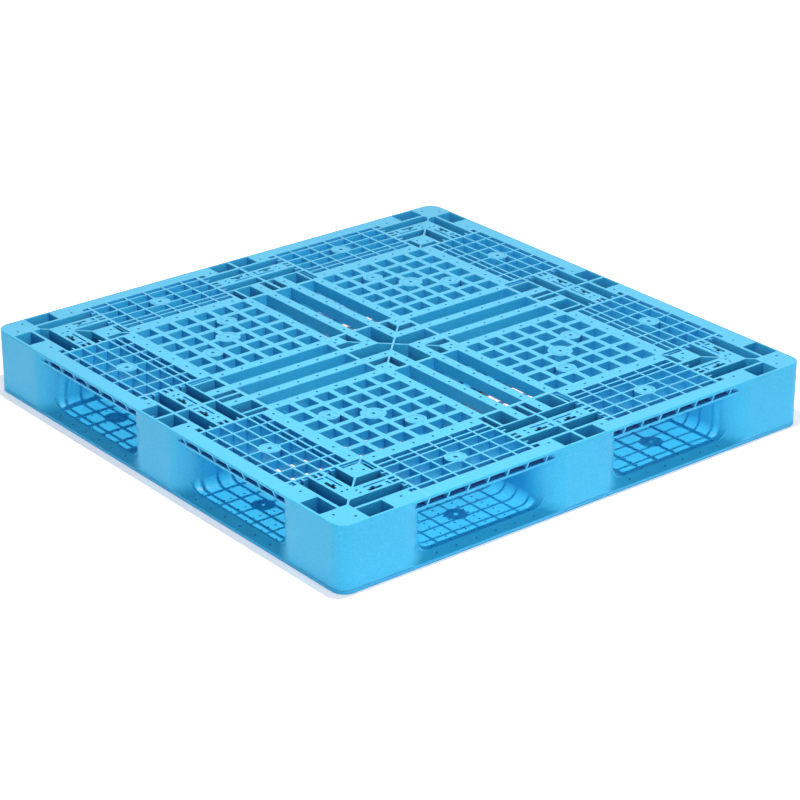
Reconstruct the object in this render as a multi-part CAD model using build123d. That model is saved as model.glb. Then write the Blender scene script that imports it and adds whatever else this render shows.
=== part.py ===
from build123d import *
import os
from math import acos, asin, cos, radians, sin, sqrt

# Plastic pallet, four-way entry, made of two injection mouldings that are welded
# together half way up the nine blocks. Millimetres, +Z up, origin in the middle
# of the footprint on the floor.
#
# Every sub-part is drawn in a half frame first: x and y as in the pallet, and z
# counted from the outer face of its moulding (0) through the inner face of the
# deck (DECK) to the weld plane (WELD). The lower moulding stands in that frame,
# and the upper moulding is its mirror image in the weld plane.

# ---- driving dimensions ----
SIDE = 1100.0              # outside length and width
HEIGHT = 130.0             # overall height
DECK = 18.0                # thickness of each deck
SKIN = 4.0                 # flat skin over the hollow areas
RIB = 4.0                  # lattice rib thickness
WALL = 5.0                 # block wall thickness
CORNER_RADIUS = 28.0       # vertical corners of the pallet
ENTRY_RADIUS = 55.0        # vertical edges of the blocks beside the fork entries
INNER_RADIUS = 20.0        # vertical edges of the blocks inside the pallet
EDGE_ROUND = 1.6           # rounding of the outer rim edge

BLOCK = 97.0               # half width of the middle blocks
ENTRY = 357.0              # start of the corner blocks: the fork entry is BLOCK..ENTRY
PANEL = 381.0              # outer edge of the grid panels
ARM = 77.0                 # half width of the arms of the cross
RIM = 518.0                # inner edge of the flat rim
PITCH = 44.5               # spacing of the lattice and of the grid holes
MIDDLE = 226.5             # centre line of each fork entry
ROWS = (398.0, 413.5, 443.0, 473.0, 504.0)   # lattice ribs along each edge
PINS = [MIDDLE - 111.5 + PITCH * k for k in range(6)]   # ejector pin lines

PIN_RADIUS = 2.8           # ejector pin marks on the outer faces
PIN_DEPTH = 3.0
FLOOR_PIN_RADIUS = 2.2     # ejector pin marks on the floor of the fork entries
FLOOR_PIN_DEPTH = 2.5
FLOOR_PIN_PITCH = 15.0     # their spacing across the floor
FLOOR_PIN_ROWS = [527.5 - FLOOR_PIN_PITCH * k for k in range(9)]

PLATE = 14.0               # underside of the plate that closes the lower lattice
SWEEP = 22.0               # radius of the sweep from the floor up the block walls

HOLE = 33.0                # square holes of the grid panels
GRID_START = 114.75        # first hole centre
TUBE_WALL = 3.0            # walls round the holes and the hubs
LAND_HALF = 14.5           # half length of the hollows between the holes
BORDER_HALF = 19.5         # half length of the hollows along the panel's border
BORDER = 3.5               # its outer wall
PANEL_PIN_LINES = (87.0, 368.0)              # lines of pin marks along the border
HUB_RADIUS = 24.0          # hub in the middle of each panel
HUB_LINE = 18.0            # ring line on it
DISC_RADIUS = 20.0         # two smaller discs in each panel
DISC_LINE = 15.0
HUB_HOLE = 3.5             # radius of the centre hole of hubs and discs
HUB_TUBE = 6.5             # outer radius of the tube round it
BOSS_RADIUS = 20.5         # boss in each edge lattice
BOSS_LINE = 16.8
BOSS_HOLE = 4.0
BOSS_TUBE = 7.0
BOSS_ROW = 458.0

WINDOW_TOP = 4.5           # rim skin above the row of rim windows
WINDOW_BACK = 522.0        # wall behind the windows
FIN = 3.5                  # ribs between the windows
FLANGE = 4.5               # thickness of the flange under the windows
FLANGE_INSET = 6.0         # how far the flange stands back from the rim
RIM_DEPTH = DECK + FLANGE  # the rim reaches lower than the lattice by the flange
SLOPE_START = 0.3          # step where the slope on the fin fronts begins
LIP = 7.0                  # height of the lip round the foot of the pallet
LIP_LINE = 1.2             # height of the fine line over the lip
LINE_DEPTH = 0.8
RAMP_TOP = 532.5           # inner end of the ramp on the lower rim
RAMP_PIN_ROW = 541.2       # line of the pin marks along the ramp
RAMP_PIN_RADIUS = 2.6
RAMP_PIN_FLOOR = 10.3      # level of their floors
POCKET_EAVE = 5.0          # depth of the hollow under the rim at the lip

# ---- slots and pockets of the blocks, as distances from the pallet's centre lines ----
SLOT_WALL = 506.0                    # wall between the long slots and the rim pockets
RIM_POCKET = (508.0, 545.0)          # square pockets beside the rim, across it
CORNER_POCKET = (431.0, 486.0)       # and along it, on a corner block
MIDDLE_POCKET = (3.0, 48.5)          # and on a middle block
FAR_SLOT = (475.0, 502.0)            # long slot on the side of the rim
NEAR_SLOT = (415.5, 441.0)           # long slot on the side of the panels
LATCH_BAY = (445.0, 471.0)           # hollow under the latch slots
SMALL_SLOTS = ((461.0, 469.0), (449.5, 456.5), (507.0, 517.0))
INNER_ROW = (362.0, 411.5)           # row of pockets facing the cross
INNER_POCKETS = ((3.0, 18.0), (40.0, 76.0))
SMALL_SLOT = 14.0                    # length of the small slots
LATCH_ROW = (462.0, 469.0)           # stepped latch slots, across the side
LATCH_TAB = 457.0                    # end of their tab
CORNER_LATCH = (396.0, 409.0, 418.0, 426.0)  # start, tab and end along the side
MIDDLE_LATCH = (20.0, 30.0, 40.0, 49.0)
LONG_GROOVE = (449.0, 454.0)         # grooves beside the latch slots, across the side
SHORT_GROOVE = (458.0, 470.0)
GROOVE_WIDTH = 6.0
CORNER_GROOVES = (378.0, 426.0)      # their start and end along the side
MIDDLE_GROOVES = (6.0, 49.0)
INNER_HOLLOW = (22.5, 36.0)          # closed hollow between the inner pockets
INNER_SIDE = 81.0                    # start of the pocket at the side of a middle block
CORNER_CELL = (376.0, 411.5)         # closed square hollow at the inner corner
RIM_CELL = (490.0, 545.0)            # closed square hollow at the outer corner
SIDE_POCKET = ((361.6, 359.0), (408.0, 359.0), (408.0, 372.0), (374.6, 372.0))
SIDE_HOLLOW = ((370.0, 363.6), (377.0, 361.6), (408.0, 361.6), (408.0, 372.0), (374.6, 372.0), (370.0, 367.4))
CENTRE_POCKET = (41.0, 61.0)         # pockets of the centre block
CENTRE_HOLLOW = (66.0, 92.0)         # and its closed hollows
CENTRE_HOLLOW_RADIUS = 15.0
CENTRE_STRIP_START = 43.0
CORNER_PINS = ((501.5, 528.0), (396.5, 518.0), (441.5, 464.0), (441.5, 452.5), (382.5, 397.5))
MIDDLE_PINS = ((63.0, 464.0), (63.0, 453.0), (63.0, 518.0), (28.5, 389.0))
CENTRE_PINS = ((28.5, 42.0), (28.5, 78.0), (73.0, 84.0))
CORNER_FAR_END = 485.5               # squared end of the far slot at the corner rib
SLOT_START = 2.0                     # margin between a block's side and its slots
STUB = 9.0                           # length of the short ribs in the slot mouths
STUB_HALF = 1.8
MITRE_TRIM = 0.3
GROOVE_DEPTH = 2.8                   # shallow grooves that frame the latch slots
STRIP = (19.5, 40.0)                 # hollow strips of the cross arms
STRIP_WALL = 3.0
RING_LINE = 1.2                      # width and depth of the ring lines on hubs and bosses
RING_DEPTH = 0.8

HALF = SIDE / 2
WELD = HEIGHT / 2
OVERCUT = 1.0              # how far a cutting tool runs past the face it opens
ARC_STEPS = 6              # straight steps along the inside of a rounded block edge
SWEEP_TURN = 60            # degrees that the floor sweep runs round that edge

DIAGONAL = Plane(origin=(0, 0, 0), z_dir=(1, -1, 0))
CROSS_RIBS = [MIDDLE + PITCH * k for k in range(-2, 3)]
FIN_BEFORE = MIDDLE - 3 * PITCH      # the fin that stands over a middle block
FIN_AFTER = MIDDLE + 3 * PITCH       # the fin that stands over a corner block


# ---- drawing helpers ----
def polygon(*points):
    """Closed outline with straight sides."""
    return Wire.make_polygon([(x, y, 0) for x, y in points], close=True)


def box(x0, x1, y0, y1):
    """Rectangular outline between two x and two y values."""
    return polygon((x0, y0), (x1, y0), (x1, y1), (x0, y1))


def ring(x, y, radius):
    """Circular outline."""
    return Wire.make_circle(radius, Plane(origin=(x, y, 0)))


def rounded(*corners):
    """Right-angled outline, each corner given as x, y and its radius."""
    points = []
    for i, (x, y, radius) in enumerate(corners):
        here = Vector(x, y)
        before = (Vector(*corners[i - 1][:2]) - here).normalized()
        after = (Vector(*corners[(i + 1) % len(corners)][:2]) - here).normalized()
        centre = here + (before + after) * radius
        middle = centre - (before + after) * (radius / sqrt(2))
        points.append((here + before * radius, middle, here + after * radius, radius))
    edges = []
    for i, (start, middle, end, radius) in enumerate(points):
        if radius:
            edges.append(Edge.make_three_point_arc(start, middle, end))
        edges.append(Edge.make_line(end, points[(i + 1) % len(points)][0]))
    return Wire(edges)


def both(*outlines):
    """The outlines and their mirror images in the pallet's diagonal."""
    return list(outlines) + [outline.mirror(DIAGONAL) for outline in outlines]


def left_and_right(*outlines):
    """The outlines and their mirror images in the YZ plane."""
    return list(outlines) + [outline.mirror(Plane.YZ) for outline in outlines]


def all_round(outlines):
    """The outlines turned to the four sides."""
    return [outline.rotate(Axis.Z, 90 * turn) for turn in range(4) for outline in outlines]


def slab(outline, holes, low, high):
    """Plate of the outline between two levels, with the holes left open."""
    face = Face(outline, list(holes)).moved(Location((0, 0, low)))
    return Solid.extrude(face, Vector(0, 0, high - low))


def bar(x0, x1, y0, y1, low, high):
    """Plain block between two values of each coordinate."""
    return slab(box(x0, x1, y0, y1), [], low, high)


def disc(x, y, radius, low, high):
    """Upright cylinder."""
    return slab(ring(x, y, radius), [], low, high)


def prism(profile, x0, x1):
    """Profile of (y, z) points carried along X."""
    wire = Wire.make_polygon([(x0, y, z) for y, z in profile], close=True)
    return Solid.extrude(Face(wire), Vector(x1 - x0, 0, 0))


def join(solids):
    """One solid of all the given ones."""
    return solids[0].fuse(*solids[1:]).clean()


def cut(body, tools):
    """The body with every tool taken away."""
    return body.cut(*tools).clean() if tools else body


def spans(first, lines, last, gap):
    """Clear stretches between two ends and the ribs on the lines between them."""
    starts = [first] + [line + gap / 2 for line in lines]
    ends = [line - gap / 2 for line in lines] + [last]
    return list(zip(starts, ends))


def pin_marks(places, low, high, radius=PIN_RADIUS):
    """Ejector pin marks as short cylinders to take away."""
    return [disc(x, y, radius, low, high) for x, y in places]


def round_rim(body):
    """The body with its outermost top edges rounded."""
    edges = [edge for edge in body.edges() if is_rim_edge(edge)]
    return body.fillet(EDGE_ROUND, edges)


def is_rim_edge(edge):
    """Whether the edge lies on the pallet's outline, on the outer face."""
    corner = HALF - CORNER_RADIUS
    for step in (0, 0.5, 1):
        place = edge @ step
        out_x = max(abs(place.X) - corner, 0)
        out_y = max(abs(place.Y) - corner, 0)
        straight = max(abs(place.X), abs(place.Y)) if min(out_x, out_y) == 0 else 0
        reach = straight or corner + sqrt(out_x ** 2 + out_y ** 2)
        if abs(place.Z) > 0.01 or abs(reach - HALF) > 0.01:
            return False
    return True


# ---- the rim of each moulding, along one side of the pallet ----
def window_tools(stretches):
    """Rim windows of the upper moulding, and the slope on the ribs between them."""
    out = HALF + OVERCUT
    tools = [bar(x0, x1, WINDOW_BACK, out, WINDOW_TOP, DECK) for x0, x1 in stretches]
    foot = HALF - FLANGE_INSET
    slope = [(out, WINDOW_TOP), (HALF - SLOPE_START, WINDOW_TOP), (foot, DECK), (foot, RIM_DEPTH)]
    slope.append((out, RIM_DEPTH))
    tools.append(prism(slope, stretches[0][0], stretches[-1][1]))
    return tools


def flange(x0, x1):
    """Flange that closes the rim windows from below."""
    return bar(x0, x1, RIM, HALF - FLANGE_INSET, DECK, RIM_DEPTH)


def ramp_tools(x0, x1):
    """What the lower rim loses to its ramp."""
    out = HALF + OVERCUT
    top = DECK + OVERCUT
    ramp = [(out, LIP), (HALF, LIP), (RAMP_TOP, DECK), (RAMP_TOP, top), (out, top)]
    return [prism(ramp, x0, x1)]


def rim_pockets(stretches):
    """Hollows under the lower rim, between its cross ribs."""
    outer = HALF - WALL
    inner = RIM + RIB
    roof = [(inner, -OVERCUT), (outer, -OVERCUT), (outer, POCKET_EAVE), (RAMP_TOP, PLATE), (inner, PLATE)]
    return [prism(roof, x0, x1) for x0, x1 in stretches]


def ramp_pins():
    """Pin marks along the ramp."""
    return pin_marks([(x, RAMP_PIN_ROW) for x in PINS], RAMP_PIN_FLOOR, DECK, RAMP_PIN_RADIUS)


# ---- lattice span over a fork entry ----
def ring_line(x, y, radius):
    """Fine ring groove to take away from a round lid."""
    return slab(ring(x, y, radius), [ring(x, y, radius - RING_LINE)], -OVERCUT, RING_DEPTH)


def boss(depth):
    """Boss of the edge lattice: a shallow cup with a tube in its middle."""
    x, y = MIDDLE, BOSS_ROW
    shell = slab(ring(x, y, BOSS_RADIUS), [ring(x, y, BOSS_RADIUS - TUBE_WALL)], SKIN, depth)
    lid = slab(ring(x, y, BOSS_RADIUS), [ring(x, y, BOSS_HOLE)], 0, SKIN)
    tube = slab(ring(x, y, BOSS_TUBE), [ring(x, y, BOSS_HOLE)], SKIN, depth)
    line = ring_line(x, y, BOSS_LINE)
    return cut(join([lid, shell, tube]), [line])


def lattice(depth):
    """Ribs over a fork entry, with open cells between them and the boss in the middle."""
    columns = spans(BLOCK + RIB, CROSS_RIBS, ENTRY - RIB, RIB)
    rows = spans(PANEL + RIB / 2, ROWS, RIM, RIB)
    cells = [box(x0, x1, y0, y1) for x0, x1 in columns for y0, y1 in rows]
    ribs = slab(box(BLOCK, ENTRY, PANEL, RIM + RIB), cells, 0, depth)
    return join([cut(ribs, [disc(MIDDLE, BOSS_ROW, BOSS_RADIUS, -OVERCUT, depth + OVERCUT)]), boss(depth)])


def lower_span():
    """Lower lattice and rim between a middle and a corner block, under one flat plate."""
    columns = spans(BLOCK + RIB, CROSS_RIBS, ENTRY - RIB, RIB)
    pins = [ring(x, y, FLOOR_PIN_RADIUS) for x in PINS for y in FLOOR_PIN_ROWS]
    outline = box(BLOCK, ENTRY, PANEL, RAMP_TOP)
    marked = slab(outline, pins, DECK - FLOOR_PIN_DEPTH, DECK)
    plate = slab(outline, [], PLATE, DECK - FLOOR_PIN_DEPTH)
    seat = bar(BLOCK, ENTRY, RIM, RAMP_TOP, PLATE, DECK + OVERCUT)
    rim = cut(bar(BLOCK, ENTRY, RIM, HALF, 0, DECK), [seat])
    rim = cut(rim, ramp_tools(BLOCK, ENTRY) + rim_pockets(columns) + ramp_pins())
    return round_rim(join([lattice(PLATE), plate, marked, rim]))


def upper_span():
    """Upper lattice and rim between a middle and a corner block."""
    rim = bar(BLOCK, ENTRY, RIM, HALF, 0, RIM_DEPTH)
    rim = cut(rim, window_tools(spans(BLOCK, CROSS_RIBS, ENTRY, FIN)))
    return round_rim(join([lattice(DECK), rim]))


# ---- blocks ----
def stub_slot(x_wall, x_tip, y0, y1, end):
    """Slot from a wall to the end points, with a short rib standing in its mouth."""
    middle = (y0 + y1) / 2
    low, high = middle - STUB_HALF, middle + STUB_HALF
    stub = [(x_wall, high), (x_tip, high), (x_tip, low), (x_wall, low)]
    return polygon((x_wall, y0), *end, (x_wall, y1), *stub)


def mitred(y0, y1, square_off=None):
    """End of a slot that meets its twin at the 45 degree rib."""
    side = RIB / 2 * sqrt(2) - MITRE_TRIM
    if square_off is None:
        return [(y0 - side, y0), (y1 - side, y1)]
    return [(y0 - side, y0), (square_off, square_off + side), (square_off, y1)]


def entry_arc(centre_x, turn, first, last):
    """Points along the inside of the rounded block edge beside an entry."""
    inside = ENTRY_RADIUS - WALL
    angles = [first + (last - first) * step / ARC_STEPS for step in range(ARC_STEPS + 1)]
    centre_y = HALF - ENTRY_RADIUS
    return [(centre_x + turn * inside * cos(a), centre_y + inside * sin(a)) for a in angles]


def sweep_face(wall, facing, y):
    """Section of the sweep from the floor up a block wall, which faces -X or +X."""
    toe = wall + facing * SWEEP
    bend = DECK + SWEEP
    back = wall - facing * WALL / 2
    lean = SWEEP / sqrt(2)
    middle = (toe - facing * lean, bend - lean)
    edges = [
        Edge.make_line((back, y, DECK), (toe, y, DECK)),
        Edge.make_three_point_arc((toe, y, DECK), (middle[0], y, middle[1]), (wall, y, bend)),
        Edge.make_line((wall, y, bend), (back, y, bend)),
        Edge.make_line((back, y, bend), (back, y, DECK)),
    ]
    return Face(Wire(edges))


def wall_sweep(wall, facing):
    """Sweep along one block wall and round its outer edge as far as the ramp."""
    bend = HALF - ENTRY_RADIUS
    section = sweep_face(wall, facing, bend)
    straight = Solid.extrude(section, Vector(0, PANEL - bend, 0))
    centre = wall - facing * ENTRY_RADIUS
    turn = Solid.revolve(section, SWEEP_TURN, Axis((centre, bend, 0), (0, 0, facing)))
    beyond = ENTRY_RADIUS + SWEEP
    turn = cut(turn, [bar(centre - beyond, centre + beyond, RAMP_TOP, HALF + SWEEP, 0, WELD)])
    return join([straight, turn, foot_fillet(centre, bend, facing)])


def foot_fillet(x, y, facing):
    """Fillet between the ramp and the rounded block edge, whose axis stands at x, y."""
    reach = 3 * ENTRY_RADIUS
    slope = (DECK - LIP) / (HALF - RAMP_TOP)
    ramp = [(y - reach, LIP + slope * (HALF - y + reach)), (y + reach, LIP + slope * (HALF - y - reach))]
    ground = prism(ramp + [(y + reach, -reach), (y - reach, -reach)], x - reach, x + reach)
    post = disc(x, y, ENTRY_RADIUS, -reach, reach)
    body = ground.fuse(post)
    seam = [edge for edge in body.edges() if edge.geom_type == GeomType.ELLIPSE]
    body = body.fillet(SWEEP, seam)
    low, high = sorted([x, x + facing * (ENTRY_RADIUS + SWEEP)])
    frame = bar(low, high, RAMP_TOP, HALF, 0, WELD)
    return (frame & body).cut(ground, disc(x, y, ENTRY_RADIUS - WALL / 2, 0, WELD)).clean()


def lip_line(outline, inset):
    """Fine line that parts the foot lip from the block wall above it."""
    return slab(outline, [inset], LIP, LIP + LIP_LINE)


def block(skin_outline, column_outline, openings, cavities, pins, deck_tools):
    """Half block: skin with its openings, ribbed deck zone and hollow column."""
    outer = slab(skin_outline, openings + [ring(x, y, PIN_RADIUS) for x, y in pins], 0, PIN_DEPTH)
    inner = slab(skin_outline, openings, PIN_DEPTH, SKIN)
    deck_zone = cut(slab(skin_outline, cavities, SKIN, DECK), deck_tools)
    column = slab(column_outline, cavities, SKIN, WELD)
    return join([outer, inner, deck_zone, column])


def latch_slot(start, tab_start, tab_stop, stop):
    """Stepped slot of a latch, with its tab towards the middle of the pallet."""
    low, high = LATCH_ROW
    tab = [(tab_start, low), (tab_start, LATCH_TAB), (tab_stop, LATCH_TAB), (tab_stop, low)]
    return polygon((start, low), *tab, (stop, low), (stop, high), (start, high))


def latch_grooves(start, stop, mirror_plane):
    """Shallow grooves that frame a latch slot, and their mirror images."""
    grooves = [
        bar(start, stop, *LONG_GROOVE, -OVERCUT, GROOVE_DEPTH),
        bar(start, start + GROOVE_WIDTH, *SHORT_GROOVE, -OVERCUT, GROOVE_DEPTH),
    ]
    return grooves + [groove.mirror(mirror_plane) for groove in grooves]


def corner_openings():
    """Slots and pockets in the skin of a corner block."""
    start = ENTRY + SLOT_START
    stub = start + STUB
    stop = start + SMALL_SLOT
    return both(
        box(*CORNER_POCKET, *RIM_POCKET),
        stub_slot(start, stub, *FAR_SLOT, mitred(*FAR_SLOT, CORNER_FAR_END)),
        stub_slot(start, stub, *NEAR_SLOT, mitred(*NEAR_SLOT)),
        latch_slot(*CORNER_LATCH),
        *[box(start, stop, *across) for across in SMALL_SLOTS],
        polygon(*SIDE_POCKET),
    )


def corner_cavities():
    """Hollows between the ribs of a corner block, down to the weld plane."""
    start = ENTRY + WALL
    stub = ENTRY + SLOT_START + STUB
    centre = ENTRY + ENTRY_RADIUS
    inside = ENTRY_RADIUS - WALL
    side_end = CORNER_POCKET[0] - RIB
    first = asin((SLOT_WALL - (HALF - ENTRY_RADIUS)) / inside)
    arc = entry_arc(centre, -1, radians(90), first)
    rim_hollow = [(side_end, SLOT_WALL), (side_end, RIM_POCKET[1]), *arc]
    rim_low, rim_high = RIM_CELL
    outer_radius = CORNER_RADIUS - WALL
    return both(
        box(*CORNER_POCKET, *RIM_POCKET),
        stub_slot(start, stub, *FAR_SLOT, mitred(*FAR_SLOT, CORNER_FAR_END)),
        polygon((start, LATCH_BAY[0]), *mitred(*LATCH_BAY), (start, LATCH_BAY[1])),
        stub_slot(start, stub, *NEAR_SLOT, mitred(*NEAR_SLOT)),
        polygon(*SIDE_HOLLOW),
        polygon(*rim_hollow),
    ) + [
        box(*CORNER_CELL, *CORNER_CELL),
        rounded(
            (rim_low, rim_low, 0),
            (rim_high, rim_low, 0),
            (rim_high, rim_high, outer_radius),
            (rim_low, rim_high, 0),
        ),
    ]


def corner_pins():
    """Pin marks of a corner block."""
    return [*CORNER_PINS, *[(y, x) for x, y in CORNER_PINS]]


def corner_block(is_lower):
    """Half of a corner block, for x > 0, y > 0."""
    square = rounded((ENTRY, ENTRY, 0), (HALF, ENTRY, 0), (HALF, HALF, CORNER_RADIUS), (ENTRY, HALF, 0))
    column = rounded(
        (ENTRY, ENTRY, INNER_RADIUS),
        (HALF, ENTRY, ENTRY_RADIUS),
        (HALF, HALF, CORNER_RADIUS),
        (ENTRY, HALF, ENTRY_RADIUS),
    )
    if is_lower:
        side_tools = ramp_tools(ENTRY, ENTRY + ENTRY_RADIUS)
        extras = [wall_sweep(ENTRY, -1)]
    else:
        stretches = [(ENTRY, FIN_AFTER - FIN / 2), (FIN_AFTER + FIN / 2, ENTRY + ENTRY_RADIUS)]
        side_tools = window_tools(stretches)
        extras = [flange(ENTRY, ENTRY + ENTRY_RADIUS)]
    deck_tools = side_tools + [tool.mirror(DIAGONAL) for tool in side_tools]
    body = block(square, column, corner_openings(), corner_cavities(), corner_pins(), deck_tools)
    body = join([body] + extras + [extra.mirror(DIAGONAL) for extra in extras])
    tools = latch_grooves(*CORNER_GROOVES, DIAGONAL)
    if is_lower:
        big = box(ENTRY, HALF + OVERCUT, ENTRY, HALF + OVERCUT)
        edge = HALF - LINE_DEPTH
        start = ENTRY + STUB
        entry, corner = ENTRY_RADIUS - LINE_DEPTH, CORNER_RADIUS - LINE_DEPTH
        inset = rounded(
            (start, start, 0),
            (edge, start, entry),
            (edge, edge, corner),
            (start, edge, entry),
        )
        tools.append(lip_line(big, inset) & outer_band())
    return round_rim(cut(body, tools))


def outer_band():
    """Thin band along the outside of the pallet, where the lip line is cut."""
    inner = HALF - LINE_DEPTH
    corner = CORNER_RADIUS - LINE_DEPTH
    corners = [(-inner, -inner), (inner, -inner), (inner, inner), (-inner, inner)]
    band = rounded(*[(x, y, corner) for x, y in corners])
    out = HALF + 2 * OVERCUT
    return slab(box(-out, out, -out, out), [band], 0, WELD)


def middle_openings():
    """Slots and pockets in the skin of a middle block, for x > 0."""
    end = BLOCK - SLOT_START
    stub = end - STUB
    near = MIDDLE_POCKET[0]
    return left_and_right(
        box(*MIDDLE_POCKET, *RIM_POCKET),
        stub_slot(end, stub, *FAR_SLOT, [(near, FAR_SLOT[0]), (near, FAR_SLOT[1])]),
        stub_slot(end, stub, *NEAR_SLOT, [(near, NEAR_SLOT[0]), (near, NEAR_SLOT[1])]),
        latch_slot(*MIDDLE_LATCH),
        *[box(end - SMALL_SLOT, end, *across) for across in SMALL_SLOTS],
        *[box(*along, *INNER_ROW) for along in INNER_POCKETS],
        box(INNER_SIDE, end, *INNER_ROW),
    )


def middle_cavities():
    """Hollows between the ribs of a middle block, for x > 0."""
    end = BLOCK - WALL
    low, high = INNER_ROW
    stub = BLOCK - SLOT_START - STUB
    near, far = MIDDLE_POCKET
    inside = ENTRY_RADIUS - WALL
    centre = BLOCK - ENTRY_RADIUS
    side_end = far + RIB
    first = asin((SLOT_WALL - (HALF - ENTRY_RADIUS)) / inside)
    arc = entry_arc(centre, 1, first, acos((side_end - centre) / inside))
    return left_and_right(
        box(near, far, *RIM_POCKET),
        stub_slot(end, stub, *FAR_SLOT, [(near, FAR_SLOT[0]), (near, FAR_SLOT[1])]),
        box(near, end, *LATCH_BAY),
        stub_slot(end, stub, *NEAR_SLOT, [(near, NEAR_SLOT[0]), (near, NEAR_SLOT[1])]),
        *[box(*along, *INNER_ROW) for along in INNER_POCKETS],
        rounded((INNER_SIDE, low, 0), (end, low, INNER_RADIUS / 2), (end, high, 0), (INNER_SIDE, high, 0)),
        box(*INNER_HOLLOW, low, high),
        polygon((side_end, SLOT_WALL), *arc),
    )


def middle_pins():
    """Pin marks of a middle block."""
    return [*MIDDLE_PINS, *[(-x, y) for x, y in MIDDLE_PINS]]


def middle_block(is_lower):
    """Half of the block in the middle of the side at y > 0."""
    square = box(-BLOCK, BLOCK, ENTRY, HALF)
    column = rounded(
        (-BLOCK, ENTRY, INNER_RADIUS),
        (BLOCK, ENTRY, INNER_RADIUS),
        (BLOCK, HALF, ENTRY_RADIUS),
        (-BLOCK, HALF, ENTRY_RADIUS),
    )
    if is_lower:
        deck_tools = ramp_tools(BLOCK - ENTRY_RADIUS, BLOCK)
        extras = [wall_sweep(BLOCK, 1)]
    else:
        stretches = [(BLOCK - ENTRY_RADIUS, FIN_BEFORE - FIN / 2), (FIN_BEFORE + FIN / 2, BLOCK)]
        deck_tools = window_tools(stretches)
        extras = [flange(BLOCK - ENTRY_RADIUS, BLOCK)]
    deck_tools += [tool.mirror(Plane.YZ) for tool in deck_tools]
    body = block(square, column, middle_openings(), middle_cavities(), middle_pins(), deck_tools)
    body = join([body] + extras + [extra.mirror(Plane.YZ) for extra in extras])
    tools = latch_grooves(*MIDDLE_GROOVES, Plane.YZ)
    if is_lower:
        big = box(-BLOCK, BLOCK, ENTRY, HALF + OVERCUT)
        edge = HALF - LINE_DEPTH
        side = BLOCK - STUB
        entry = ENTRY_RADIUS - LINE_DEPTH
        inset = rounded((-side, ENTRY, 0), (side, ENTRY, 0), (side, edge, entry), (-side, edge, entry))
        tools.append(lip_line(big, inset) & outer_band())
    return round_rim(cut(body, tools))


def centre_block():
    """Half of the block in the middle of the pallet, with the hub of the cross."""
    side = RIB / 2 * sqrt(2) - MITRE_TRIM
    end = BLOCK - RIB
    inner, outer = STRIP
    near, far = CENTRE_POCKET
    low, high = CENTRE_HOLLOW
    mouth = [(-inner, end), (-inner, inner + side), (0, side), (inner, inner + side), (inner, end)]
    pocket = polygon((near + side, near), (end, near), (end, far), (far + side, far))
    openings = all_round([polygon(*mouth)] + both(pocket))
    plate_hollow = rounded((low, low, 0), (high, low, 0), (high, high, CENTRE_HOLLOW_RADIUS), (low, high, 0))
    strip_hollow = box(CENTRE_STRIP_START, end, inner + STRIP_WALL, outer - STRIP_WALL)
    cavities = openings + all_round(both(strip_hollow) + [plate_hollow])
    places = [*CENTRE_PINS, *[(y, x) for x, y in CENTRE_PINS]]
    pins = [(x * sx, y * sy) for x, y in places for sx in (1, -1) for sy in (1, -1)]
    corners = [(-BLOCK, -BLOCK), (BLOCK, -BLOCK), (BLOCK, BLOCK), (-BLOCK, BLOCK)]
    column = rounded(*[(x, y, INNER_RADIUS) for x, y in corners])
    return block(polygon(*corners), column, openings, cavities, pins, [])


# ---- grid panels and the arms of the cross ----
def panel_hub(x, y, radius, line_radius):
    """Round hub of a panel: lid, skirt and a tube round its centre hole."""
    lid = slab(ring(x, y, radius), [ring(x, y, HUB_HOLE)], 0, SKIN)
    skirt = slab(ring(x, y, radius), [ring(x, y, radius - TUBE_WALL)], SKIN, DECK)
    tube = slab(ring(x, y, HUB_TUBE), [ring(x, y, HUB_HOLE)], SKIN, DECK)
    line = ring_line(x, y, line_radius)
    return cut(join([lid, skirt, tube]), [line])


def panel_hollows(centres):
    """Hollows under the skin of a panel, between its square tubes and in its border."""
    tube = HOLE / 2 + TUBE_WALL
    hollows = []
    for along in centres:
        low = max(along - BORDER_HALF, BLOCK + RIB)
        high = min(along + BORDER_HALF, ENTRY - RIB)
        hollows += both(box(low, high, ARM + BORDER, centres[0] - tube))
        hollows += both(box(low, high, centres[-1] + tube, PANEL - RIB))
        for before in centres[:-1]:
            land = (before + tube, before + PITCH - tube)
            hollows += both(box(along - LAND_HALF, along + LAND_HALF, *land))
    return hollows


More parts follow.
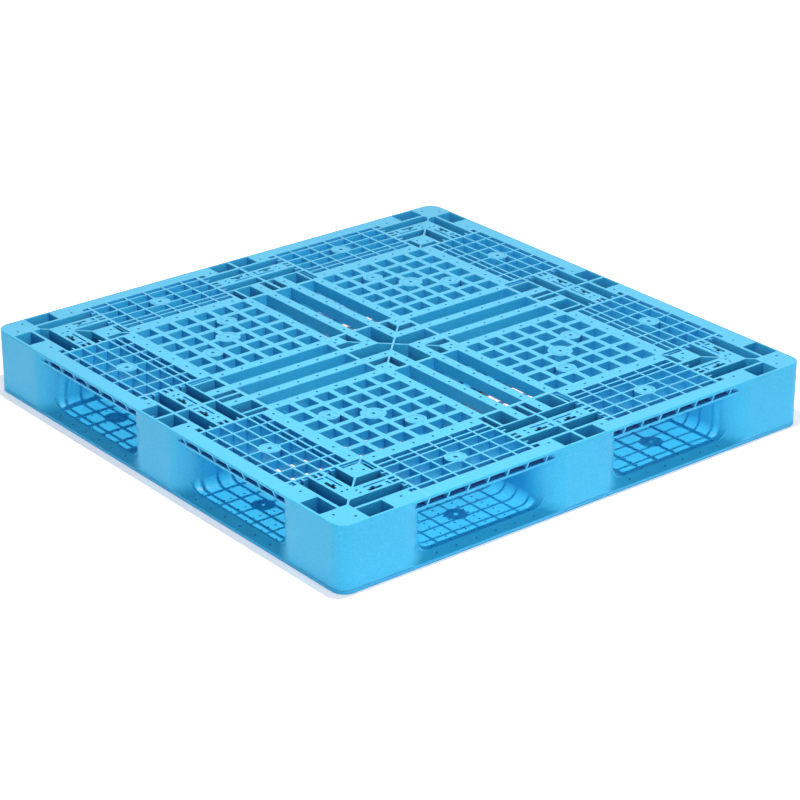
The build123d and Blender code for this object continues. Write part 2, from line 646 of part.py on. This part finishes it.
def panel():
    """Grid panel of one quarter of the upper deck."""
    corners = [(BLOCK, ARM), (ENTRY, ARM), (ENTRY, BLOCK), (PANEL, BLOCK), (PANEL, ENTRY)]
    corners += [(ENTRY, ENTRY), (ENTRY, PANEL), (BLOCK, PANEL), (BLOCK, ENTRY), (ARM, ENTRY)]
    corners += [(ARM, BLOCK), (BLOCK, BLOCK)]
    outline = polygon(*corners)
    centres = [GRID_START + PITCH * k for k in range(6)]
    half = HOLE / 2
    holes = [box(x - half, x + half, y - half, y + half) for x in centres for y in centres]
    marks = [ring(line, along, PIN_RADIUS) for line in PANEL_PIN_LINES for along in PINS]
    layers = [slab(outline, holes + both(*marks), 0, PIN_DEPTH)]
    layers.append(slab(outline, holes, PIN_DEPTH, SKIN))
    layers.append(slab(outline, holes + panel_hollows(centres), SKIN, DECK))
    skirt = bar(BLOCK, ENTRY, ARM, ARM + STRIP_WALL, DECK, RIM_DEPTH)
    body = join(layers + [skirt, skirt.mirror(DIAGONAL)])
    middle = (centres[2] + centres[3]) / 2
    between = centres[1] + PITCH / 2
    hubs = [(middle, middle, HUB_RADIUS, HUB_LINE)]
    hubs += [(centres[4], between, DISC_RADIUS, DISC_LINE), (between, centres[4], DISC_RADIUS, DISC_LINE)]
    body = cut(body, [disc(x, y, radius, -OVERCUT, DECK + OVERCUT) for x, y, radius, _ in hubs])
    return join([body] + [panel_hub(*hub) for hub in hubs])


def cross_arm(is_lower):
    """Arm of the cross at y > 0: two hollow strips with channels beside and between them."""
    depth = DECK if is_lower else RIM_DEPTH
    inner, outer = STRIP
    body = [
        bar(-ARM, ARM, BLOCK, BLOCK + STRIP_WALL, 0, depth),
        bar(-ARM, ARM, ENTRY - STRIP_WALL, ENTRY, 0, depth),
        bar(inner, outer, BLOCK, ENTRY, 0, depth),
        bar(-outer, -inner, BLOCK, ENTRY, 0, depth),
    ]
    if is_lower:
        body.append(bar(-ARM, ARM, BLOCK, ENTRY, PLATE, DECK))
    hollows = []
    marks = []
    low, high = inner + STRIP_WALL, outer - STRIP_WALL
    for y0, y1 in spans(BLOCK + RIB, CROSS_RIBS, ENTRY - RIB, RIB):
        hollows.append(bar(low, high, y0, y1, SKIN, depth + OVERCUT))
        hollows.append(bar(-high, -low, y0, y1, SKIN, depth + OVERCUT))
    middle = (inner + outer) / 2
    for y in PINS:
        marks += pin_marks([(middle, y), (-middle, y)], -OVERCUT, PIN_DEPTH)
    return cut(join(body), hollows + marks)


# ---- the two mouldings, each sub-part turned to its places ----
SIDES = ["back", "left", "front", "right"]


def turned(name, body, places):
    """Copies of a sub-part turned by quarter turns, named after their places."""
    return {f"{name}_{place}": body.rotate(Axis.Z, 90 * i) for i, place in enumerate(places)}


def moulding(half, is_lower):
    """All sub-parts of one moulding, in the half frame."""
    corner_places = ["back_right", "back_left", "front_left", "front_right"]
    first_ends = ["back_right", "left_back", "front_left", "right_front"]
    second_ends = ["back_left", "left_front", "front_right", "right_back"]
    parts = {}
    span = lower_span() if is_lower else upper_span()
    parts.update(turned(f"{half}_edge", span, first_ends))
    parts.update(turned(f"{half}_edge", span.mirror(Plane.YZ), second_ends))
    parts.update(turned(f"{half}_corner_block", corner_block(is_lower), corner_places))
    parts.update(turned(f"{half}_middle_block", middle_block(is_lower), SIDES))
    parts.update(turned(f"{half}_cross_arm", cross_arm(is_lower), SIDES))
    parts[f"{half}_centre_block"] = centre_block()
    if not is_lower:
        parts.update(turned("upper_panel", panel(), corner_places))
    return parts


def build():
    """Every sub-part of the pallet in its place."""
    parts = moulding("lower", True)
    weld_plane = Plane.XY.offset(WELD)
    for name, body in moulding("upper", False).items():
        parts[name] = body.mirror(weld_plane)
    return parts


os.makedirs("parts", exist_ok=True)
for name, body in build().items():
    export_step(body, f"parts/{name}.step")
    print(name, round(body.volume / 1000), "cm3")
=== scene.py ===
from math import cos, radians, sin

import bpy
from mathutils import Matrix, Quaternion, Vector


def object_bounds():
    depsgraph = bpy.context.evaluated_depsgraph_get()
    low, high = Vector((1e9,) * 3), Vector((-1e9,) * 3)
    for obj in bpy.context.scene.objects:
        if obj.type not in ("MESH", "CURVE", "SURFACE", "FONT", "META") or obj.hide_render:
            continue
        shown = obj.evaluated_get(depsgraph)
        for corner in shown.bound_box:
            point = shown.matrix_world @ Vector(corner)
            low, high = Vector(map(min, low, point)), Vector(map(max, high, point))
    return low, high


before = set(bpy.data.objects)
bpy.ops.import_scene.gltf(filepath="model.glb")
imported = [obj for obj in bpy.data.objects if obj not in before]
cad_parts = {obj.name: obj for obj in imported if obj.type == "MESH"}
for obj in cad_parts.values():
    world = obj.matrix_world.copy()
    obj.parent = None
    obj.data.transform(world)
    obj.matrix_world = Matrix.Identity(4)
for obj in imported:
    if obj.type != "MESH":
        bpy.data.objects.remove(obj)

CAD_LOW, CAD_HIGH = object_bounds()
CENTRE = (CAD_LOW + CAD_HIGH) / 2
SIZE = CAD_HIGH - CAD_LOW

# ---- camera ----
VIEW_AZIMUTH = -38.735       # degrees, 0 looks along +Y
VIEW_ELEVATION = 24.443
VIEW_DISTANCE = 4.972
VIEW_ROLL = -0.087
LENS = 118.88                # millimetres
SENSOR_WIDTH = 36.0
AIM = CENTRE + Vector((-0.0633, -0.1001, 0.0))

# ---- light, in metres, degrees and watts ----
LAMP_OFFSET = (-0.238, -0.440, 2.385)
LAMP_WIDTH = 0.07
LAMP_WATTS = 82.0
LAMP_COLOUR = (1.0, 0.66, 0.55)
FRONT_WATTS = 40.0
FRONT_ANGLES = (-16.0, 32.0)  # azimuth and elevation
FRONT_DISTANCE = 4.5
FRONT_SIZE = (3.0, 1.4)
BACK_WATTS = 74.0
BACK_ANGLES = (141.0, 28.0)
BACK_DISTANCE = 5.0
BACK_SIZE = (5.0, 2.4)
HORIZON_LIGHT = 0.70
HORIZON_HEIGHT = 0.10        # sine of the elevation where the sky starts to dim
ZENITH_LIGHT = 0.07
ZENITH_HEIGHT = 0.80
FLOOR_SIZE = 60.0
FLOOR_GLOW = 0.42            # soft light given off by the floor round the pallet
GLOW_START = -0.16           # distance from the footprint where it begins to shine
GLOW_FULL = -0.02

# ---- colours of the moulded plastic and of its painted recess shade, linear ----
SKY_BLUE = (0.024, 0.450, 0.810, 1.0)
DEEP_BLUE = (0.020, 0.395, 0.760, 1.0)
GRAIN_BLUE = (0.064, 0.550, 0.880, 1.0)
PALE_BLUE = (0.280, 0.760, 0.950, 1.0)
# painted shade: the next two colours darken the recesses and the deepest cavities
PAINTED_RECESS_SHADE = (0.030, 0.270, 0.640, 1.0)
PAINTED_CAVITY_SHADE = (0.070, 0.050, 0.240, 1.0)
PALE_FLOOR = (0.93, 0.93, 0.93, 1.0)
WHITE = (1.0, 1.0, 1.0, 1.0)

# ---- surface of the plastic: noise scales per metre, distances in metres ----
CLOUD_SCALE = 5.0
MOTTLE_SCALE = 330.0
GRAIN_SCALE = 900.0
SCUFF_SCALE = 26.0
SCRATCH_TURN = 0.5
SCRATCH_SCALE = (14.0, 420.0, 14.0)
EDGE_RADIUS = 0.0012         # width of the worn edges
RELIEF = 0.00012             # height of the grain
# reach of the painted recess shade
PAINTED_SHADE_REACH = 0.050         # how near the walls of a recess stand
WORN_FROM = 0.75             # worn edges start here, as a part of the half height
WORN_FULL = 0.90


# ---- nodes ----
class Nodes:
    """Short calls to add nodes to a material and to join them."""

    def __init__(self, material):
        self.tree = material.node_tree

    def add(self, kind, inputs=None, **settings):
        node = self.tree.nodes.new(kind)
        for name, value in settings.items():
            setattr(node, name, value)
        for socket, value in (inputs or {}).items():
            if isinstance(value, bpy.types.NodeSocket):
                self.tree.links.new(value, node.inputs[socket])
            else:
                node.inputs[socket].default_value = value
        return node

    def math(self, operation, first, second=0.0, third=0.0):
        node = self.add("ShaderNodeMath", {0: first, 1: second, 2: third}, operation=operation)
        return node.outputs[0]

    def ramp(self, value, low, high, to_low=0.0, to_high=1.0):
        """The value carried smoothly from one range to another."""
        inputs = {"Value": value, "From Min": low, "From Max": high, "To Min": to_low, "To Max": to_high}
        node = self.add("ShaderNodeMapRange", inputs, interpolation_type="SMOOTHSTEP")
        return node.outputs["Result"]

    def noise(self, where, scale, detail=2.0, roughness=0.5):
        inputs = {"Vector": where, "Scale": scale, "Detail": detail, "Roughness": roughness}
        return self.add("ShaderNodeTexNoise", inputs).outputs["Fac"]

    def blend(self, amount, first, second):
        node = self.add("ShaderNodeMix", {"Factor": amount}, data_type="RGBA")
        for socket, value in ((node.inputs[6], first), (node.inputs[7], second)):
            if isinstance(value, bpy.types.NodeSocket):
                self.tree.links.new(value, socket)
            else:
                socket.default_value = value
        return node.outputs[2]


def new_material(name):
    material = bpy.data.materials.new(name)
    material.use_nodes = True
    material.node_tree.nodes.clear()
    return material


def moulded_plastic(name, shift):
    """Satin polypropylene: mould grain, cloudy colour, worn edges, fine scratches, and painted shade
    darkening the recesses.
    """
    material = new_material(name)
    nodes = Nodes(material)
    here = nodes.add("ShaderNodeTexCoord").outputs["Object"]
    where = nodes.add("ShaderNodeMapping", {"Vector": here, "Location": shift}).outputs["Vector"]
    geometry = nodes.add("ShaderNodeNewGeometry")

    clouds = nodes.noise(where, CLOUD_SCALE, 3.0)
    mottle = nodes.noise(where, MOTTLE_SCALE, 2.0, 0.6)
    grain = nodes.noise(where, GRAIN_SCALE, 2.0, 0.6)
    colour = nodes.blend(nodes.ramp(clouds, 0.35, 0.68, 0.0, 0.35), SKY_BLUE, DEEP_BLUE)
    colour = nodes.blend(nodes.ramp(mottle, 0.36, 0.64, 0.0, 0.40), colour, GRAIN_BLUE)

    rounded = nodes.add("ShaderNodeBevel", {"Radius": EDGE_RADIUS}, samples=4).outputs["Normal"]
    normals = {0: rounded, 1: geometry.outputs["Normal"]}
    facing = nodes.add("ShaderNodeVectorMath", normals, operation="DOT_PRODUCT")
    edge = nodes.ramp(facing.outputs["Value"], 0.985, 0.80, 0.0, 1.0)
    patches = nodes.ramp(nodes.noise(where, SCUFF_SCALE, 4.0, 0.65), 0.42, 0.66)
    height = nodes.add("ShaderNodeSeparateXYZ", {"Vector": here}).outputs["Z"]
    from_middle = nodes.math("ABSOLUTE", nodes.math("SUBTRACT", height, CENTRE.z))
    handled = nodes.ramp(from_middle, WORN_FROM * SIZE.z / 2, WORN_FULL * SIZE.z / 2)
    wear = nodes.math("MULTIPLY", edge, nodes.math("MULTIPLY_ADD", patches, 0.5, 0.3))
    wear = nodes.math("MULTIPLY", wear, handled)
    colour = nodes.blend(wear, colour, PALE_BLUE)

    stretched = nodes.add("ShaderNodeMapping", {
        "Vector": where,
        "Rotation": (0.0, 0.0, SCRATCH_TURN),
        "Scale": SCRATCH_SCALE,
    })
    scratches = nodes.ramp(nodes.noise(stretched.outputs["Vector"], 1.0, 2.0), 0.66, 0.76)

    rough = nodes.ramp(mottle, 0.25, 0.75, 0.36, 0.46)
    rough = nodes.math("ADD", rough, nodes.math("MULTIPLY", wear, 0.12))
    rough = nodes.math("ADD", rough, nodes.math("MULTIPLY", scratches, 0.06))

    relief = nodes.math("ADD", grain, nodes.math("MULTIPLY", mottle, 1.2))
    relief = nodes.math("SUBTRACT", relief, nodes.math("MULTIPLY", scratches, 0.25))
    bump = nodes.add("ShaderNodeBump", {"Height": relief, "Distance": RELIEF, "Strength": 0.5})

    # painted shade: ambient occlusion darkens recesses to a deeper blue and the deepest cavities to dark
    # purple
    shade_closeness = nodes.add("ShaderNodeAmbientOcclusion", {"Distance": PAINTED_SHADE_REACH}, samples=8).outputs["AO"]
    colour = nodes.blend(nodes.ramp(shade_closeness, 0.62, 0.30, 0.0, 0.7), colour, PAINTED_RECESS_SHADE)
    colour = nodes.blend(nodes.ramp(shade_closeness, 0.22, 0.04), colour, PAINTED_CAVITY_SHADE)

    shader = nodes.add("ShaderNodeBsdfPrincipled", {
        "Base Color": colour,
        "Roughness": rough,
        "IOR": 1.49,
        "Specular IOR Level": 0.2,
        "Normal": bump.outputs["Normal"],
    })
    nodes.add("ShaderNodeOutputMaterial", {"Surface": shader.outputs["BSDF"]})
    return material


def floor_material():
    """Pale matt studio floor that shines softly, except under the middle of the pallet."""
    material = new_material("studio_floor")
    nodes = Nodes(material)
    here = nodes.add("ShaderNodeTexCoord").outputs["Object"]
    split = nodes.add("ShaderNodeSeparateXYZ", {"Vector": here})
    across = nodes.math("ABSOLUTE", split.outputs["X"])
    along = nodes.math("ABSOLUTE", split.outputs["Y"])
    distance = nodes.math("SUBTRACT", nodes.math("MAXIMUM", across, along), SIZE.x / 2)
    glow = nodes.ramp(distance, GLOW_START, GLOW_FULL, 0.0, FLOOR_GLOW)
    shader = nodes.add("ShaderNodeBsdfPrincipled", {
        "Base Color": PALE_FLOOR,
        "Roughness": 0.9,
        "Specular IOR Level": 0.1,
        "Emission Color": WHITE,
        "Emission Strength": glow,
    })
    nodes.add("ShaderNodeOutputMaterial", {"Surface": shader.outputs["BSDF"]})
    return material


def dress_nodes():
    """Gives every CAD node of each moulding its plastic."""
    looks = {
        "upper": moulded_plastic("upper_moulding_plastic", (0.0, 0.0, 0.0)),
        "lower": moulded_plastic("lower_moulding_plastic", (3.7, 1.9, 2.3)),
    }
    for name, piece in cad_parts.items():
        piece.data.materials.clear()
        piece.data.materials.append(looks[name.split("_")[0]])


# ---- studio ----
def add_floor():
    bpy.ops.mesh.primitive_plane_add(size=FLOOR_SIZE, location=(CENTRE.x, CENTRE.y, CAD_LOW.z))
    floor = bpy.context.object
    floor.name = "studio_floor"
    floor.data.materials.append(floor_material())


def direction(azimuth, elevation):
    """Unit vector from the object towards a place at these angles, as in the view angles."""
    a = radians(azimuth)
    e = radians(elevation)
    return Vector((sin(a) * cos(e), -cos(a) * cos(e), sin(e)))


def add_softbox(name, angles, distance, size, watts):
    data = bpy.data.lights.new(name, "AREA")
    data.shape = "RECTANGLE"
    data.size, data.size_y = size
    data.energy = watts
    light = bpy.data.objects.new(name, data)
    towards = direction(*angles)
    light.location = CENTRE + towards * distance
    light.rotation_mode = "QUATERNION"
    light.rotation_quaternion = towards.to_track_quat("Z", "Y")
    bpy.context.scene.collection.objects.link(light)


def add_lamp(place, width, watts):
    """Small round lamp over the deck, whose light falls through the lattice."""
    data = bpy.data.lights.new("deck_lamp", "AREA")
    data.shape = "DISK"
    data.size = width
    data.energy = watts
    data.color = LAMP_COLOUR
    lamp = bpy.data.objects.new("deck_lamp", data)
    lamp.location = place
    bpy.context.scene.collection.objects.link(lamp)


def add_world():
    """Studio surroundings: bright round the horizon, dimmer overhead."""
    world = bpy.data.worlds.new("studio")
    world.use_nodes = True
    nodes = Nodes(world)
    towards = nodes.add("ShaderNodeTexCoord").outputs["Generated"]
    height = nodes.add("ShaderNodeSeparateXYZ", {"Vector": towards}).outputs["Z"]
    strength = nodes.ramp(height, HORIZON_HEIGHT, ZENITH_HEIGHT, HORIZON_LIGHT, ZENITH_LIGHT)
    background = world.node_tree.nodes["Background"]
    background.inputs["Color"].default_value = WHITE
    world.node_tree.links.new(strength, background.inputs["Strength"])
    bpy.context.scene.world = world


def add_light():
    add_world()
    add_lamp(CENTRE + Vector(LAMP_OFFSET), LAMP_WIDTH, LAMP_WATTS)
    add_softbox("front_softbox", FRONT_ANGLES, FRONT_DISTANCE, FRONT_SIZE, FRONT_WATTS)
    add_softbox("back_softbox", BACK_ANGLES, BACK_DISTANCE, BACK_SIZE, BACK_WATTS)


def add_camera():
    data = bpy.data.cameras.new("camera")
    data.sensor_width = SENSOR_WIDTH
    data.lens = LENS
    camera = bpy.data.objects.new("camera", data)
    back = direction(VIEW_AZIMUTH, VIEW_ELEVATION)
    camera.location = AIM + back * VIEW_DISTANCE
    camera.rotation_mode = "QUATERNION"
    upright = (-back).to_track_quat("-Z", "Y")
    camera.rotation_quaternion = upright @ Quaternion((0, 0, 1), radians(VIEW_ROLL))
    bpy.context.scene.collection.objects.link(camera)
    bpy.context.scene.camera = camera


dress_nodes()
add_floor()
add_light()
add_camera()
bpy.context.scene.view_settings.view_transform = "Standard"
